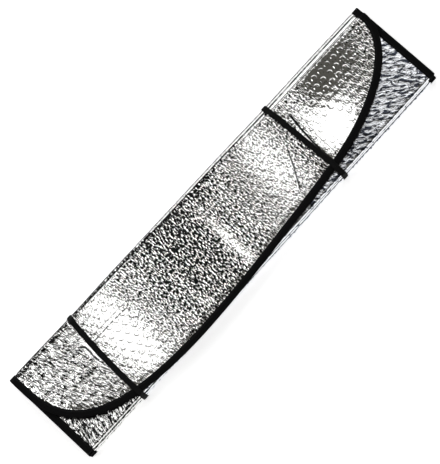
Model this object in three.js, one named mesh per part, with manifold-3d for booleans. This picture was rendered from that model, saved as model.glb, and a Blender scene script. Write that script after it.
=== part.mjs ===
// Windscreen sunshade of aluminium bubble foil, folded like a concertina and held shut by two elastic bands.
//
// Millimetres, +Z up. The folded pack lies flat: X runs up the height of the shade, from its lower bound edge to its
// upper one, Y runs across the panels, and the origin is on the resting plane under the middle of the pack.
//
// The shade is one sheet. Its outline is a wide shape, a little shorter along its upper edge, whose two short sides are
// rounded, so the first and last panels end in a curve. One tape binds the whole outline and folds with the sheet.
import * as THREE from "three";
import { mergeVertices } from "three/addons/utils/BufferGeometryUtils.js";
import Module from "manifold-3d";

// Sheet
const shadeHeight = 600; // lower bound edge to upper bound edge
const panelCount = 10; // concertina panels
const foldedWidth = 130; // a panel, from fold to fold, at the lower edge
const upperWidthShare = 0.955; // a panel's width at the upper edge, as a share of that at the lower edge
const foilThickness = 2.8; // bubble foil between two panels
const hemThickness = 1.4; // bubble foil pressed flat under the binding
const hemRamp = 4; // length over which the pressed hem swells to the full foil
const layerGap = 0.6; // air between two panels
const cellPitch = 11.25; // air cells, in rows along X
const cellCrest = 1.65; // crest of an air cell above the middle of the foil, on the top panel
const cellGroove = 0.75; // grooves between the air cells
const cellSeat = 0.4; // plain foil under the air cells
const cellMargin = 1; // width over which the hem falls to the seat

// Binding
const bindingWidth = 9; // tape seen on each face
const tapeThickness = 0.45;
const bindingClearance = 0.3; // tape to pressed foil
const hemMargin = 0.6; // pressed foil that shows past the tape

// Rounded sides, measured on an end panel from its fold and from the ends of the shade
const sideSetBack = 1.4; // the curve's widest point, short of a full panel
const lowerCornerLength = 22; // straight lower edge, from the fold to where the lower corner turns
const lowerCornerRun = 177; // lower edge to the widest point
const shoulderRun = 162; // upper edge to the shoulder
const shoulderSetBack = 24; // the shoulder, short of a full panel
const upperCornerLength = 6; // straight upper edge, from the fold to where the upper corner turns

// Elastic bands
const bandWidth = 7;
const bandThickness = 1;
const bandClearance = 0.3; // band to pack
const lowerBandInset = 98; // lower edge to the middle of the lower band
const upperBandInset = 160; // upper edge to the middle of the upper band
const lowerBandSlant = 0.058; // shift along X for each millimetre of Y
const upperBandSlant = -0.034;
const waistReach = 80; // how far from a band the pack is squeezed
const waistSqueeze = 0.16; // share of the height that a band takes away
const waistPinch = 0.006; // share of the width that a band takes away

// How loosely the pack was folded
const foldStray = 1.2; // largest sideways stray of a fold line
const foldSkew = 0.7; // largest sideways stray between the middle of a fold line and its ends
const foldSlide = 0.6; // largest slip of a fold line along X
const topFoldSetBack = 3; // the outer fold of the top panel, inside the others at the lower edge
const topFoldSkew = 10.5; // how much further it sits inside towards the upper edge
const topFoldTurn = 0.7; // share of the height over which it moves inside

// Where the sheet gets its sections, as shares of the height of the shade or of the reach of a waist
const cornerShares = [0.003, 0.0075, 0.037, 0.057, 0.083];
const middleShares = [0.4, 0.5];
const waistShares = [0.15, 0.5, 1];

// Worked out from the sizes above
const half = shadeHeight / 2;
const pitch = foilThickness + layerGap;
const foldRadius = pitch / 2;
const foldEnd = foldRadius + foilThickness / 2; // reach at which an end panel leaves its fold
const cellTuck = cellMargin / 3; // the rim of the air cells lies this far under the hem, out of sight
const bindingReach = hemThickness / 2 + bindingClearance + tapeThickness; // middle of the foil to the tape's face
const foilInset = tapeThickness + bindingClearance; // outline of the tape to the edge of the foil
const hemDepth = bindingWidth + hemMargin;
const lowest = Math.max(foilThickness / 2, bindingReach);
const middleHeight = lowest + ((panelCount - 1) * pitch) / 2;
const lastPanel = panelCount - 1;
const foldSegments = 3;
const sideOf = (fold) => (fold % 2 === 0 ? 1 : -1); // the folds alternate between +Y and -Y

const bands = [
  { name: "lower_band", x: -half + lowerBandInset, slant: lowerBandSlant },
  { name: "upper_band", x: half - upperBandInset, slant: upperBandSlant },
];

// The curve of a rounded side as x along the shade and reach out from the fold, lower edge first.
function sideCurve() {
  const reach = foldedWidth - sideSetBack;
  const shoulder = foldedWidth - shoulderSetBack;
  const widest = -half + lowerCornerRun;
  const shoulderX = half - shoulderRun;
  const slope = 0.1; // of the curve at the shoulder
  const path = new THREE.Path();
  path.moveTo(-half, lowerCornerLength);
  path.bezierCurveTo(-half, 0.78 * reach, -half + 0.345 * lowerCornerRun, reach, widest, reach);
  const run = shoulderX - widest;
  path.bezierCurveTo(
    widest + 0.24 * run, reach,
    shoulderX - 0.24 * run, shoulder + slope * 0.24 * run,
    shoulderX, shoulder,
  );
  path.bezierCurveTo(
    shoulderX + 0.54 * shoulderRun, shoulder - slope * 0.54 * shoulderRun,
    half - 0.01 * shoulderRun, 0.55 * shoulder,
    half, upperCornerLength,
  );
  return path;
}

const wasm = await Module();
wasm.setup();
const side = sideCurve();

// The point of the rounded side at t, moved inwards by inset, with the inward direction.
function sidePoint(t, inset) {
  const p = side.getPoint(t);
  const tangent = side.getTangent(t);
  const inward = new THREE.Vector2(tangent.y, -tangent.x);
  return { x: p.x + inset * inward.x, reach: p.y + inset * inward.y, inward };
}

// Where the rounded side, moved inwards by inset, passes x; null beyond its ends.
function sideParameter(x, inset) {
  if (x < sidePoint(0, inset).x || x > sidePoint(1, inset).x) return null;
  let low = 0;
  let high = 1;
  for (let step = 0; step < 40; step++) {
    const t = (low + high) / 2;
    if (sidePoint(t, inset).x < x) low = t;
    else high = t;
  }
  return (low + high) / 2;
}

// Outermost y of a fold line at x.
function foldEdge(fold, x) {
  const stray = foldStray * Math.sin(2.4 * fold + 0.6) + ((foldSkew * x) / half) * Math.cos(1.7 * fold);
  const inwards = THREE.MathUtils.smoothstep(x, -half, -half + topFoldTurn * shadeHeight);
  const setBack = fold === lastPanel - 1 ? topFoldSetBack + topFoldSkew * inwards : 0;
  return sideOf(fold) * (foldedWidth / 2 + stray - setBack);
}

// How far a fold line has slipped along X.
function foldShift(fold) {
  return fold === lastPanel - 1 ? 0 : foldSlide * Math.sin(1.9 * fold + 0.9);
}

// A station is a place on the sheet's middle surface: at(x) gives its y and z, the direction n of its outer face
// and its slip along X.
function foldStation(fold, angle) {
  const s = sideOf(fold);
  const n = new THREE.Vector2(Math.sin(angle), -s * Math.cos(angle));
  return {
    at(x) {
      const centre = foldEdge(fold, x) - s * foldEnd;
      return {
        y: centre + s * foldRadius * Math.sin(angle),
        z: lowest + pitch * (fold + 0.5) - foldRadius * Math.cos(angle),
        n,
        slip: foldShift(fold),
      };
    },
  };
}

// A place on the first or last panel, reach out from its fold.
function endPanelPoint(panel, x, reach) {
  const fold = panel === 0 ? 0 : lastPanel - 1;
  return {
    y: foldEdge(fold, x) - sideOf(fold) * reach,
    z: lowest + pitch * panel,
    n: new THREE.Vector2(0, panel === 0 ? -sideOf(fold) : sideOf(fold)),
    slip: foldShift(fold),
  };
}

// Share of the bands' squeeze at a point, 1 under a band.
function waist(x, y) {
  let share = 0;
  for (const band of bands) {
    const u = (x - band.x - band.slant * y) / waistReach;
    if (Math.abs(u) < 1) share = Math.max(share, Math.cos((Math.PI / 2) * u) ** 2);
  }
  return share;
}

// The panels narrow evenly from the lower edge to the upper one.
function widthShare(x) {
  return THREE.MathUtils.lerp(1, upperWidthShare, (x + half) / shadeHeight);
}

// The folded and squeezed place of a point that stands height off the sheet's middle surface.
function folded(place, x, height) {
  const y = (place.y + place.n.x * height) * widthShare(x);
  const z = place.z + place.n.y * height;
  const share = waist(x + place.slip, y);
  return new THREE.Vector3(
    x + place.slip,
    y * (1 - waistPinch * share),
    middleHeight + (z - middleHeight) * (1 - waistSqueeze * share),
  );
}

// Skins closed rings of equal length, and either caps the two ends or joins the last ring to the first.
function loft(rings, joined) {
  const count = rings[0].length;
  const points = rings.flat();
  const index = [];
  const last = joined ? rings.length : rings.length - 1;
  for (let i = 0; i < last; i++) {
    const a = i * count;
    const b = ((i + 1) % rings.length) * count;
    for (let j = 0; j < count; j++) {
      const k = (j + 1) % count;
      index.push(a + j, a + k, b + k, a + j, b + k, b + j);
    }
  }
  if (!joined) {
    for (const [start, flip] of [[0, true], [(rings.length - 1) * count, false]]) {
      const outline = points.slice(start, start + count).map((p) => new THREE.Vector2(p.y, p.z));
      for (const [p, q, r] of THREE.ShapeUtils.triangulateShape(outline, [])) {
        index.push(start + p, start + (flip ? r : q), start + (flip ? q : r));
      }
    }
  }
  const geometry = new THREE.BufferGeometry().setFromPoints(points);
  geometry.setIndex(index);
  geometry.computeVertexNormals();
  return geometry;
}

// Stations of the fold lines, bottom panel to top panel.
function foldStations() {
  const stations = [];
  for (let fold = 0; fold < lastPanel; fold++) {
    for (let step = 0; step <= foldSegments; step++) {
      stations.push(foldStation(fold, (Math.PI * step) / foldSegments));
    }
  }
  return stations;
}

// Places along X where the sheet gets a section: close together at the hems, the corners and the bands.
function sectionPlaces() {
  const end = half - foilInset;
  const places = [-end, end];
  for (const fromEnd of [hemDepth, hemDepth + hemRamp, ...cornerShares.map((share) => share * shadeHeight)]) {
    places.push(-half + fromEnd, half - fromEnd);
  }
  for (const band of bands) {
    for (const share of waistShares) places.push(band.x - share * waistReach, band.x + share * waistReach);
  }
  for (const share of middleShares) places.push(-half + share * shadeHeight);
  places.sort((a, b) => a - b);
  const kept = [];
  for (const x of places) {
    const nearEnd = Math.min(x + half, half - x) <= hemDepth + hemRamp;
    if (kept.length === 0 || nearEnd || x - kept[kept.length - 1] > shadeHeight / 100) kept.push(x);
  }
  return kept;
}

// Half the thickness of the foil at a distance from the outline.
function halfFoil(fromOutline) {
  const share = THREE.MathUtils.clamp((fromOutline - hemDepth) / hemRamp, 0, 1);
  return THREE.MathUtils.lerp(hemThickness, foilThickness, share) / 2;
}

// The free edge, the hem line and the start of the ramp of an end panel at x, as reach out from its fold.
function endPanelRows(x) {
  const step = 0.4; // least distance between two rows
  const reachAt = (inset) => {
    const t = sideParameter(x, inset);
    return t === null ? 0 : sidePoint(t, inset).reach;
  };
  const edge = reachAt(foilInset);
  const hem = Math.max(Math.min(reachAt(hemDepth), edge - step), foldEnd + 2 * step);
  const ramp = Math.max(Math.min(reachAt(hemDepth + hemRamp), hem - step), foldEnd + step);
  const seat = Math.max(Math.min(reachAt(hemDepth + cellMargin), hem - step), foldEnd + step);
  return { edge, hem, ramp, seat, fold: Math.min(foldEnd + hemRamp, seat - step / 2) };
}

// The plain sheet. The outer face of the top panel stays low, and its air cells are laid on it.
function plainSheet() {
  const folds = foldStations();
  const pressed = hemThickness / 2;
  const rings = sectionPlaces().map((x) => {
    const fromEnd = Math.min(x + half, half - x);
    const full = halfFoil(fromEnd);
    const low = THREE.MathUtils.mapLinear(
      THREE.MathUtils.clamp(fromEnd, hemDepth, hemDepth + cellMargin),
      hemDepth, hemDepth + cellMargin, pressed, cellSeat,
    );
    const rows = endPanelRows(x);
    const end = (panel, reach, height) => folded(endPanelPoint(panel, x, reach), x, height);
    const plain = (panel, sign) => [
      end(panel, rows.ramp, sign * full),
      end(panel, rows.hem, sign * pressed),
      end(panel, rows.edge, sign * pressed),
    ];
    return [
      ...plain(0, 1).toReversed(),
      ...folds.map((station) => folded(station.at(x), x, full)),
      end(lastPanel, rows.fold, low),
      end(lastPanel, rows.seat, low),
      end(lastPanel, rows.hem, pressed),
      end(lastPanel, rows.edge, pressed),
      ...plain(lastPanel, -1).toReversed(),
      ...folds.map((station) => folded(station.at(x), x, -full)).toReversed(),
      ...plain(0, -1),
    ];
  });
  return loft(rings, false);
}

// The part of the top panel that holds air cells, as x and reach.
function cellField() {
  const inset = hemDepth - cellTuck;
  const curve = Array.from({ length: 121 }, (_, i) => {
    const p = sidePoint(i / 120, inset);
    return new THREE.Vector2(p.x, p.reach);
  });
  const low = foldEnd + cellTuck;
  const end = half - inset;
  const above = curve.filter((p) => p.y > low && Math.abs(p.x) <= end + 1e-6);
  return [new THREE.Vector2(-end, low), ...above, new THREE.Vector2(end, low)];
}

function inside(outline, p) {
  let within = false;
  outline.forEach((a, i) => {
    const b = outline[(i + 1) % outline.length];
    if (a.y > p.y !== b.y > p.y && p.x < a.x + ((b.x - a.x) * (p.y - a.y)) / (b.y - a.y)) within = !within;
  });
  return within;
}

function nearestOn(outline, p) {
  let best = null;
  outline.forEach((a, i) => {
    const b = outline[(i + 1) % outline.length];
    const along = b.clone().sub(a);
    const share = THREE.MathUtils.clamp(p.clone().sub(a).dot(along) / along.lengthSq(), 0, 1);
    const q = a.clone().addScaledVector(along, share);
    if (best === null || q.distanceTo(p) < best.distanceTo(p)) best = q;
  });
  return best;
}

// The air cells of the top panel: a slab whose outer face rises to a crest over each cell and whose flat inner face
// lies in the middle of the sheet. The cells lie in staggered rows and meet along a honeycomb of grooves.
function cellSlab() {
  const outline = cellField();
  const rowPitch = (cellPitch * Math.sqrt(3)) / 2;
  const points = [];
  const index = [];
  const known = new Map();
  const edges = new Map();
  const add = (p, height) => points.push(folded(endPanelPoint(lastPanel, p.x, p.y), p.x, height)) - 1;
  const corner = (p) => {
    const key = `${Math.round(p.x * 20)},${Math.round(p.y * 20)}`;
    if (!known.has(key)) {
      const whole = inside(outline, p);
      const q = whole ? p : nearestOn(outline, p);
      known.set(key, [add(q, whole ? cellGroove : cellSeat), add(q, 0)]);
    }
    return known.get(key);
  };
  const rows = Math.floor(foldedWidth / rowPitch);
  const half0 = Math.ceil(half / cellPitch);
  for (let row = 0; row <= rows; row++) {
    for (let i = -half0; i <= half0; i++) {
      const centre = new THREE.Vector2((i + (row % 2) / 2) * cellPitch, foldEnd + (row + 0.8) * rowPitch);
      if (!inside(outline, centre) || nearestOn(outline, centre).distanceTo(centre) < cellPitch / 3) continue;
      const top = add(centre, cellCrest);
      const bottom = add(centre, 0);
      const ring = cellCorners(centre).map(corner);
      ring.forEach(([a, a0], k) => {
        const [b, b0] = ring[(k + 1) % ring.length];
        index.push(top, a, b, bottom, b0, a0);
        if (edges.has(`${b},${a}`)) edges.delete(`${b},${a}`);
        else edges.set(`${a},${b}`, [a, b, a0, b0]);
      });
    }
  }
  for (const [a, b, a0, b0] of edges.values()) index.push(a, a0, b0, a, b0, b);
  const geometry = new THREE.BufferGeometry().setFromPoints(points);
  geometry.setIndex(index);
  return geometry;
}

function cellCorners(centre) {
  const radius = cellPitch / Math.sqrt(3);
  return Array.from({ length: 6 }, (_, k) => {
    const angle = (Math.PI / 3) * (k + 0.5);
    return new THREE.Vector2(centre.x + radius * Math.cos(angle), centre.y + radius * Math.sin(angle));
  });
}

// A closed geometry as a solid, whichever way its faces were wound.
function solid(geometry) {
  const bare = geometry.toNonIndexed();
  bare.deleteAttribute("normal");
  bare.deleteAttribute("uv");
  const merged = mergeVertices(bare, 1e-4);
  const make = (triVerts) =>
    new wasm.Manifold(new wasm.Mesh({ numProp: 3, vertProperties: merged.attributes.position.array, triVerts }));
  const triVerts = new Uint32Array(merged.index.array);
  const made = make(triVerts);
  return made.volume() > 0 ? made : make(triVerts.toReversed());
}

function foilSheet() {
  const made = solid(plainSheet()).add(solid(cellSlab())).getMesh();
  const geometry = new THREE.BufferGeometry();
  geometry.setAttribute("position", new THREE.BufferAttribute(made.vertProperties, 3));
  geometry.setIndex(new THREE.BufferAttribute(made.triVerts, 1));
  geometry.computeVertexNormals();
  return geometry;
}

// The tape's section: inset from the outline and height off the middle of the foil. A U with eased outer corners.
function tapeSection() {
  const out = bindingReach;
  const inn = bindingReach - tapeThickness;
  const ease = 0.35;
  return [
    [bindingWidth, inn], [tapeThickness, inn], [tapeThickness, -inn], [bindingWidth, -inn],
    [bindingWidth, -out], [ease, -out], [0, ease - out], [0, out - ease], [ease, out], [bindingWidth, out],
  ];
}

// One tape right round the outline of the sheet, folded with it.
function edgeBinding() {
  const folds = foldStations();
  const turns = sectionPlaces().map((x) => sideParameter(x, foilInset)).map((t, i, all) => {
    if (t !== null) return t;
    return i < all.length / 2 ? 0 : 1;
  });
  const section = tapeSection();
  const alongEnd = (station, sign) =>
    section.map(([inset, height]) => {
      const x = sign * (half - inset);
      return folded(station.at(x), x, height);
    });
  const alongSide = (panel, t) =>
    section.map(([inset, height]) => {
      const p = sidePoint(t, inset);
      return folded(endPanelPoint(panel, p.x, p.reach), p.x, height);
    });
  return loft(
    [
      ...folds.map((station) => alongEnd(station, 1)),
      ...turns.toReversed().map((t) => alongSide(lastPanel, t)),
      ...folds.toReversed().map((station) => alongEnd(station, -1)),
      ...turns.map((t) => alongSide(0, t)),
    ],
    true,
  );
}

// Counter-clockwise convex hull of points, without the points that lie on its sides.
function hull(points) {
  const sorted = points.toSorted((a, b) => a.x - b.x || a.y - b.y);
  const chain = (list) => {
    const kept = [];
    for (const p of list) {
      while (kept.length > 1) {
        const a = kept[kept.length - 2];
        const b = kept[kept.length - 1];
        if ((b.x - a.x) * (p.y - a.y) - (b.y - a.y) * (p.x - a.x) > 1e-3) break;
        kept.pop();
      }
      kept.push(p);
    }
    return kept.slice(0, -1);
  };
  return [...chain(sorted), ...chain(sorted.toReversed())];
}

// The tight loop that goes round points at a distance, as y and z.
function loopAround(points, distance) {
  const turn = 12;
  const grown = points.flatMap((p) =>
    Array.from({ length: turn }, (_, i) => {
      const angle = (2 * Math.PI * (i + 0.5)) / turn;
      return new THREE.Vector2(p.x + distance * Math.cos(angle), p.y + distance * Math.sin(angle));
    }),
  );
  return hull(grown);
}

// Every place that a band can touch, as y and z: the folds and the bound edges of the two end panels.
function underBand(band) {
  const points = [];
  const add = (placeAt, height, y) => {
    for (const edge of [-0.5, 0, 0.5]) {
      const x = band.x + band.slant * y * widthShare(band.x) + edge * bandWidth;
      const p = folded(placeAt(x), x, height);
      points.push(new THREE.Vector2(p.y, p.z));
    }
  };
  for (let fold = 0; fold < lastPanel; fold++) {
    for (let step = 0; step <= foldSegments; step++) {
      const station = foldStation(fold, (Math.PI * step) / foldSegments);
      add((x) => station.at(x - foldShift(fold)), foilThickness / 2, foldEdge(fold, band.x));
      add((x) => station.at(x - foldShift(fold)), -foilThickness / 2, foldEdge(fold, band.x));
    }
  }
  for (const panel of [0, lastPanel]) {
    const far = endPanelPoint(panel, band.x, foldedWidth - sideSetBack).y;
    for (const height of [bindingReach, -bindingReach]) {
      add((x) => endPanelPoint(panel, x, sidePoint(sideParameter(x, 0), 0).reach), height, far);
    }
  }
  for (const share of [0, 0.5, 1]) {
    const reachAt = (x) => {
      const far = sidePoint(sideParameter(x, hemDepth), hemDepth).reach;
      return THREE.MathUtils.lerp(foldEnd + hemRamp, far, share);
    };
    add((x) => endPanelPoint(lastPanel, x, reachAt(x)), cellCrest, endPanelPoint(lastPanel, band.x, reachAt(band.x)).y);
  }
  return points;
}

// A loop of elastic drawn tight round the pack.
function elasticBand(band) {
  const points = underBand(band);
  const shape = new THREE.Shape(loopAround(points, bandClearance + bandThickness));
  shape.holes.push(new THREE.Path(loopAround(points, bandClearance)));
  const geometry = new THREE.ExtrudeGeometry(shape, { depth: bandWidth, bevelEnabled: false });
  // The extrusion's x, y and depth become the pack's y, z and x, and the loop leans with its slant.
  const lean = new THREE.Matrix4().set(
    band.slant, 0, 1, band.x - bandWidth / 2,
    1, 0, 0, 0,
    0, 1, 0, 0,
    0, 0, 0, 1,
  );
  return geometry.applyMatrix4(lean);
}

const foil = new THREE.MeshStandardMaterial({ color: 0xd5d7da, roughness: 0.22, metalness: 1, flatShading: true });
const tape = new THREE.MeshStandardMaterial({ color: 0x0b0b0c, roughness: 0.9, metalness: 0, flatShading: true });
const elastic = new THREE.MeshStandardMaterial({ color: 0x101011, roughness: 0.8, metalness: 0, flatShading: true });

function piece(name, geometry, material) {
  const mesh = new THREE.Mesh(geometry, material);
  mesh.name = name;
  return mesh;
}

const sunshade = new THREE.Group();
sunshade.add(piece("foil_sheet", foilSheet(), foil));
sunshade.add(piece("edge_binding", edgeBinding(), tape));
for (const band of bands) sunshade.add(piece(band.name, elasticBand(band), elastic));

// Puts the origin on the resting plane, under the middle of the pack.
const extent = new THREE.Box3().setFromObject(sunshade);
const middle = extent.getCenter(new THREE.Vector3());
sunshade.position.set(-middle.x, -middle.y, -extent.min.z);

export default sunshade;
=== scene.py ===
import bpy
import math
import numpy as np
from mathutils import Matrix, Vector


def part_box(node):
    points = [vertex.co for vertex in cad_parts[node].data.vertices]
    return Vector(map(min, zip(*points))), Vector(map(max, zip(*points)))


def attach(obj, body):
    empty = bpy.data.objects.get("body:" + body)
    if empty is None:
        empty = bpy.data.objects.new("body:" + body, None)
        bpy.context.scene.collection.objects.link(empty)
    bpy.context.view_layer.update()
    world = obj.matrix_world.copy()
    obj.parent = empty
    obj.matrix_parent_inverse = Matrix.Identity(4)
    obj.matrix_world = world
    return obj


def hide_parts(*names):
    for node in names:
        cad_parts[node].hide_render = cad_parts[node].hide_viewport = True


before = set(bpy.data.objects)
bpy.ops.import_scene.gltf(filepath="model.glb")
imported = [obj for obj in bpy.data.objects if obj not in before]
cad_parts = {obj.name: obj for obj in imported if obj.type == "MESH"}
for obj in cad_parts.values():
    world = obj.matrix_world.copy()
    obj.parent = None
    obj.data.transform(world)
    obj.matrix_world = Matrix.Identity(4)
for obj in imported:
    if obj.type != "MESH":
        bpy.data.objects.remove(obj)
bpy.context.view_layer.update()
scene = bpy.context.scene
print("frame loaded")

# The folded sheet, in millimetres, with the same sizes as the solids.
# x runs from the lower edge to the upper one, y across the panels, z up through the pack
sheet = {
    "height": 600.0,
    "panels": 10,
    "width": 130.0,  # of a panel at the lower edge
    "upperShare": 0.955,  # width at the upper edge, as a share of that
    "foil": 2.8,  # thickness, and pressed to "hem" under the binding
    "hem": 1.4,
    "hemRamp": 4.0,
    "layerGap": 0.6,
    "tapeWidth": 9.0,
    "tape": 0.45,  # thickness of the binding
    "tapeClearance": 0.3,
    "hemMargin": 0.6,
    "stray": 1.2,  # of the folds across the pack, a sine of their number
    "strayTurn": (2.4, 0.6),
    "skew": 0.7,
    "skewTurn": 1.7,
    "slide": 0.6,  # of the folds along the pack
    "slideTurn": (1.9, 0.9),
    "topSetBack": 3.0,  # of the top fold, growing by "topSkew" towards the upper edge
    "topSkew": 10.5,
    "topTurn": 0.7,
    "waistReach": 80.0,  # how far from a band its squeeze reaches
    "waistSqueeze": 0.16,
    "waistPinch": 0.006,
    "cellPitch": 11.25,  # of the air cells
    "cellRadius": 5.3,
    "cellStart": 60.6,  # pairs of cell rows before the top panel, as in the solid
}
bands = {
    "lower_band": {"x": -202.0, "slant": 0.058, "bow": -2.4},
    "upper_band": {"x": 140.0, "slant": -0.034, "bow": 0.5},
}
# Rounded side as Bezier spans of (x, reach out from the fold), lower edge first
sideSpans = [
    [(-300.0, 22.0), (-300.0, 100.31), (-238.94, 128.6), (-123.0, 128.6)],
    [(-123.0, 128.6), (-60.36, 128.6), (75.36, 112.264), (138.0, 106.0)],
    [(138.0, 106.0), (225.48, 97.252), (298.38, 58.3), (300.0, 6.0)],
]
half = sheet["height"] / 2
pitch = sheet["foil"] + sheet["layerGap"]
foldRadius = pitch / 2
foldEnd = foldRadius + sheet["foil"] / 2
tapeReach = sheet["hem"] / 2 + sheet["tapeClearance"] + sheet["tape"]
hemDepth = sheet["tapeWidth"] + sheet["hemMargin"]
foilInset = sheet["tape"] + sheet["tapeClearance"]
lowest = max(sheet["foil"] / 2, tapeReach)
lastPanel = sheet["panels"] - 1
lastFold = lastPanel - 1
halfArc = math.pi * foldRadius / 2
# puts the air cells where the solid has them
phase = sheet["cellStart"] * sheet["cellPitch"] * math.sqrt(3) - lastPanel * sheet["width"] - halfArc
middleHeight = lowest + lastPanel * pitch / 2


def smooth(x, low, high):
    # 3t^2 - 2t^3 between low and high
    t = np.clip((x - low) / (high - low), 0, 1)
    return t * t * (3 - 2 * t)


def sideOf(fold):
    # folds lie on the +y side and the -y side in turn
    return 1 if fold % 2 == 0 else -1


def foldEdge(fold, x):
    # half a panel, plus a sine of the fold's number, less the set-back of the top fold
    turn, start = sheet["strayTurn"]
    skewed = sheet["skew"] * x / half * math.cos(sheet["skewTurn"] * fold)
    stray = sheet["stray"] * math.sin(turn * fold + start) + skewed
    setBack = 0.0
    if fold == lastFold:
        turned = smooth(x, -half, -half + sheet["topTurn"] * sheet["height"])
        setBack = sheet["topSetBack"] + sheet["topSkew"] * turned
    return sideOf(fold) * (sheet["width"] / 2 + stray - setBack)


def foldShift(fold):
    # a sine of the fold's number, none for the top fold
    turn, start = sheet["slideTurn"]
    return 0.0 if fold == lastFold else sheet["slide"] * math.sin(turn * fold + start)


def waist(x, y):
    # cosine squared of the distance from the nearer band, 1 under the band
    share = np.zeros(np.broadcast(x, y).shape)
    for band in bands.values():
        u = np.clip((x - band["x"] - band["slant"] * y) / sheet["waistReach"], -1, 1)
        share = np.maximum(share, np.cos(np.pi / 2 * u) ** 2)
    return share


def folded(x, y, z, ny, nz, slip, height):
    # middle surface plus height along its normal, narrowed towards the upper edge
    # and squeezed under the bands
    narrow = 1 + (sheet["upperShare"] - 1) * (x + half) / sheet["height"]
    y = (y + ny * height) * narrow
    z = z + nz * height
    share = waist(x + slip, y)
    return np.stack(np.broadcast_arrays(
        x + slip,
        y * (1 - sheet["waistPinch"] * share),
        middleHeight + (z - middleHeight) * (1 - sheet["waistSqueeze"] * share),
    ), -1)


def sideCurve(steps=160):
    # cubic Bezier spans as points and inward directions
    t = np.linspace(0, 1, steps)[:, None]
    points, tangents = [], []
    for span in sideSpans:
        a, b, c, d = (np.array(p) for p in span)
        points.append((1 - t) ** 3 * a + 3 * (1 - t) ** 2 * t * b + 3 * (1 - t) * t * t * c + t ** 3 * d)
        tangents.append(3 * (1 - t) ** 2 * (b - a) + 6 * (1 - t) * t * (c - b) + 3 * t * t * (d - c))
    points, tangents = np.concatenate(points), np.concatenate(tangents)
    tangents /= np.linalg.norm(tangents, axis=1)[:, None]
    return points, np.stack([tangents[:, 1], -tangents[:, 0]], -1)


side, inward = sideCurve()


def reachAt(x, inset):
    # reach of the rounded side, moved inwards, where it passes x
    moved = side + inset * inward
    order = np.maximum.accumulate(moved[:, 0])
    reach = np.interp(x, order, moved[:, 1])
    return np.where((x < moved[0, 0] - 1e-6) | (x > moved[-1, 0] + 1e-6), 0.0, reach)


def fromOutline(x, reach):
    # distance to the rounded side and to the two straight edges
    curve = side[::3]
    away = np.full(x.shape, 1e3)
    for part in np.array_split(curve, 12):
        gap = np.hypot(x[..., None] - part[:, 0], reach[..., None] - part[:, 1])
        away = np.minimum(away, gap.min(-1))
    return np.minimum(away, np.minimum(x + half, half - x))


def cellCrown(u, v):
    # 0 in the grooves to 1 on top of each air cell of a staggered lattice,
    # times a height of the cell's own between 0.72 and 1, from a sine of its row and column
    cellPitch, radius = sheet["cellPitch"], sheet["cellRadius"]
    rowPitch = cellPitch * math.sqrt(3) / 2
    best = np.full(u.shape, 1e3)
    tone = np.zeros(u.shape)
    for step in (-1, 0, 1):
        row = np.round(v / rowPitch) + step
        shift = np.mod(row, 2) / 2 * cellPitch
        column = np.round((u - shift) / cellPitch)
        gap = np.hypot(u - shift - column * cellPitch, v - row * rowPitch)
        own = np.mod(np.sin(column * 12.9898 + row * 78.233) * 43758.5453, 1)
        tone = np.where(gap < best, own, tone)
        best = np.minimum(best, gap)
    crown = 1 - smooth(best, 0.45 * radius, radius)
    return crown * (0.72 + 0.28 * tone)


def ripple(u, v, size, seed):
    # smooth noise between -1 and 1: random values on a grid, blended with cubic weights
    rng = np.random.default_rng(seed)
    table = rng.uniform(-1, 1, (256, 256))
    i, j = np.floor(u / size).astype(int), np.floor(v / size).astype(int)
    a, b = u / size - i, v / size - j
    a, b = a * a * (3 - 2 * a), b * b * (3 - 2 * b)
    at = lambda p, q: table[np.mod(p, 256), np.mod(q, 256)]
    near = at(i, j) * (1 - a) + at(i + 1, j) * a
    far = at(i, j + 1) * (1 - a) + at(i + 1, j + 1) * a
    return near * (1 - b) + far * b


# How the upper layers of the pack heave, in millimetres:
# centre x, centre y, reach along x, reach along y, height
heaves = [
    (-120, 10, 70, 60, 0.9),
    (-30, -10, 60, 70, -0.8),
    (30, 0, 30, 80, 0.7),
    (85, 15, 45, 60, -0.6),
    (205, 10, 45, 45, 0.9),
    (255, 25, 40, 40, -0.7),
    (-255, 15, 40, 50, 0.8),
]


def heaved(p):
    # lifts points by Gaussian swells that fade towards the floor
    lift = np.zeros(p.shape[:-1])
    for x, y, reachX, reachY, height in heaves:
        lift += height * np.exp(-((p[..., 0] - x) / reachX) ** 2 - ((p[..., 1] - y) / reachY) ** 2)
    depth = np.clip(p[..., 2] / (2 * middleHeight), 0, 1.05) ** 2
    return np.concatenate([p[..., :2], (p[..., 2] + lift * depth)[..., None]], -1)


def makeMesh(name, points, faces):
    # a smooth-shaded object from arrays
    mesh = bpy.data.meshes.new(name)
    mesh.from_pydata(points.tolist(), [], faces)
    mesh.validate()
    mesh.polygons.foreach_set("use_smooth", np.full(len(mesh.polygons), True))
    mesh.update()
    piece = bpy.data.objects.new(name, mesh)
    scene.collection.objects.link(piece)
    return piece


def setField(piece, name, values):
    # a value or vector for each vertex, for the materials to read
    kind, slot = ("FLOAT", "value") if values.ndim == 1 else ("FLOAT_VECTOR", "vector")
    field = piece.data.attributes.new(name, kind, "POINT")
    field.data.foreach_set(slot, values.astype(np.float32).ravel())


def readVectors(source, slot):
    # one vector for each vertex
    values = np.zeros(len(source) * 3, np.float32)
    source.foreach_get(slot, values)
    return values.reshape(-1, 3)


def gridFaces(rings, count, closed):
    # quads between neighbouring rings of the same length
    last = rings if closed else rings - 1
    i = np.arange(last)[:, None]
    j = np.arange(count)[None, :]
    a, b = i * count, ((i + 1) % rings) * count
    k = (j + 1) % count
    return np.stack([a + j, a + k, b + k, b + j], -1).reshape(-1, 4)


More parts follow.
